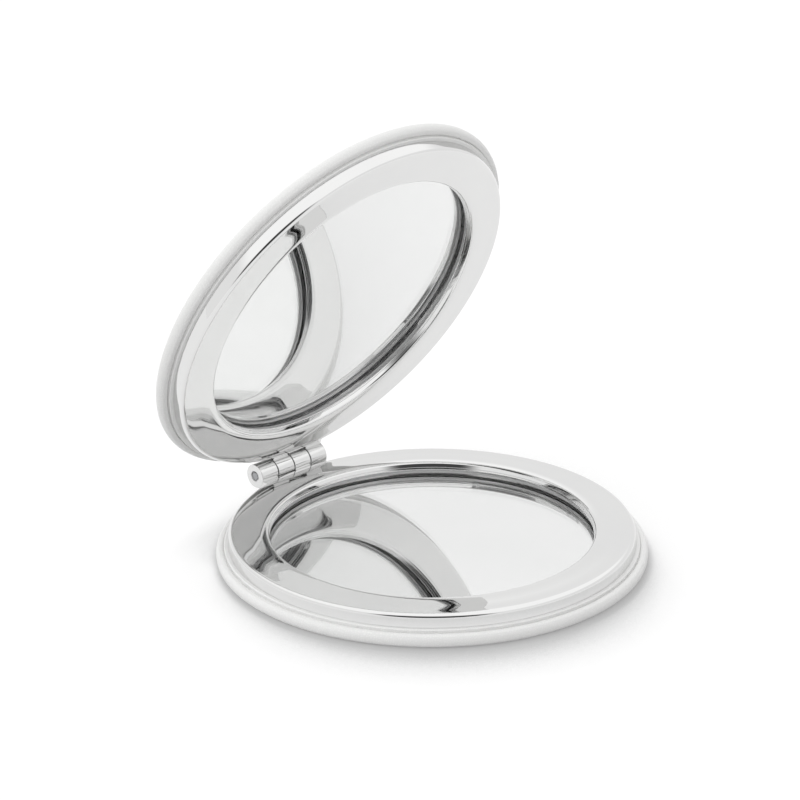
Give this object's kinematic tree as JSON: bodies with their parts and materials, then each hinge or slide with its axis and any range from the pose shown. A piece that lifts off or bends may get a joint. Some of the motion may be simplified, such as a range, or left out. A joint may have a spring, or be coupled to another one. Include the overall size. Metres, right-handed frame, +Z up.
{
  "type": "compact mirror",
  "caption": "Round pocket compact that opens like a clam: a plated metal rim and a mirror in each half, white padded backs, joined by a barrel hinge.",
  "frame": {"origin": "centre of the base's flat underside, on the table", "axes": "+Z up; the hinge line runs along Y on the -X side, so +X points to the front where the lid opens"},
  "size_m": [0.0743, 0.07, 0.07],
  "materials": {
    "chrome_plate": "polished chrome plating",
    "silvered_glass": "flat silvered glass",
    "foam_tape": "double-sided foam tape",
    "adhesive": "adhesive film ring",
    "steel_plate": "pressed steel plate",
    "foam": "thin backing foam",
    "white_skin": "white coated leathercloth, fine grain",
    "magnet": "nickelled disc magnet",
    "pin_steel": "plain steel pin"
  },
  "bodies": {
    "base": {"base_frame": "chrome_plate", "base_mirror": "silvered_glass", "base_mirror_tape": "foam_tape", "base_glue_ring": "adhesive", "base_back_plate": "steel_plate", "base_padding": "foam", "base_cover": "white_skin", "base_magnet": "magnet", "hinge_pin": "pin_steel"},
    "lid": {"lid_frame": "chrome_plate", "lid_mirror": "silvered_glass", "lid_mirror_tape": "foam_tape", "lid_glue_ring": "adhesive", "lid_back_plate": "steel_plate", "lid_padding": "foam", "lid_cover": "white_skin", "lid_magnet": "magnet"}
  },
  "joints": [
    {"name": "lid_hinge", "type": "hinge", "parent": "base", "child": "lid", "pos_m": [-0.0352, 0, 0.00515], "axis": [0, -1, 0], "range_deg": [-63.6, 116.4]}
  ]
}
